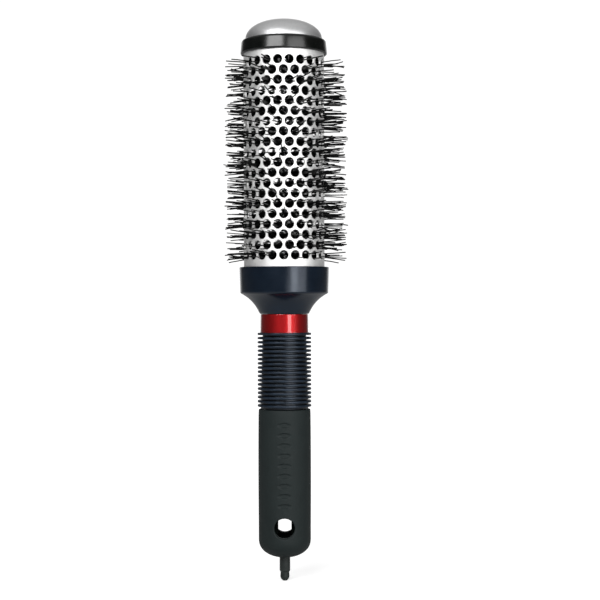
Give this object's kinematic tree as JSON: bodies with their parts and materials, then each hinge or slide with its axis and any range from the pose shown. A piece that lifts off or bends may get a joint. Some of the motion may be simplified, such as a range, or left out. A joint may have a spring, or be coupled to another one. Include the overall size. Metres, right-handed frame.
{
  "type": "round barrel brush",
  "caption": "Round thermal styling brush: perforated aluminium barrel with nylon bristles, domed cap, flared ferrule, ribbed and smooth soft grip, hang hole and tail pin.",
  "frame": {"origin": "tip of the tail pin, on the brush's axis, the lowest point with the brush upright", "axes": "+Z along the brush's axis from the tail pin to the domed end; the hang hole runs along Y"},
  "size_m": [0.056, 0.056, 0.264],
  "materials": {
    "barrel_aluminium": "satin, fine grain",
    "stem_steel": "bright drawn wire",
    "cap_grey": "satin silver grey",
    "collar_black": "high gloss",
    "ferrule_navy": "semi-gloss, near-black blue",
    "band_red": "metallic gloss red",
    "rib_rubber": "matte",
    "soft_grip": "matte soft touch",
    "core_plastic": "semi-matte",
    "bristle_nylon": "smooth nylon filament"
  },
  "bodies": {
    "root": {"dome_cap": "cap_grey", "cap_collar": "collar_black", "top_plug": "core_plastic", "barrel_tube": "barrel_aluminium", "stem_wire_a": "stem_steel", "stem_wire_b": "stem_steel", "stem_crimp": "stem_steel", "bottom_plug": "core_plastic", "ferrule_cup": "ferrule_navy", "accent_band": "band_red", "rib_sleeve": "rib_rubber", "grip_sleeve": "soft_grip", "handle_core": "core_plastic", "bristle_row_01": "bristle_nylon", "bristle_row_02": "bristle_nylon", "bristle_row_03": "bristle_nylon", "bristle_row_04": "bristle_nylon", "bristle_row_05": "bristle_nylon", "bristle_row_06": "bristle_nylon", "bristle_row_07": "bristle_nylon", "bristle_row_08": "bristle_nylon", "bristle_row_09": "bristle_nylon", "bristle_row_10": "bristle_nylon", "bristle_row_11": "bristle_nylon", "bristle_row_12": "bristle_nylon", "bristle_row_13": "bristle_nylon", "bristle_row_14": "bristle_nylon", "bristle_row_15": "bristle_nylon", "bristle_row_16": "bristle_nylon", "bristle_row_17": "bristle_nylon", "bristle_row_18": "bristle_nylon", "bristle_row_19": "bristle_nylon", "bristle_row_20": "bristle_nylon"}
  },
  "joints": []
}
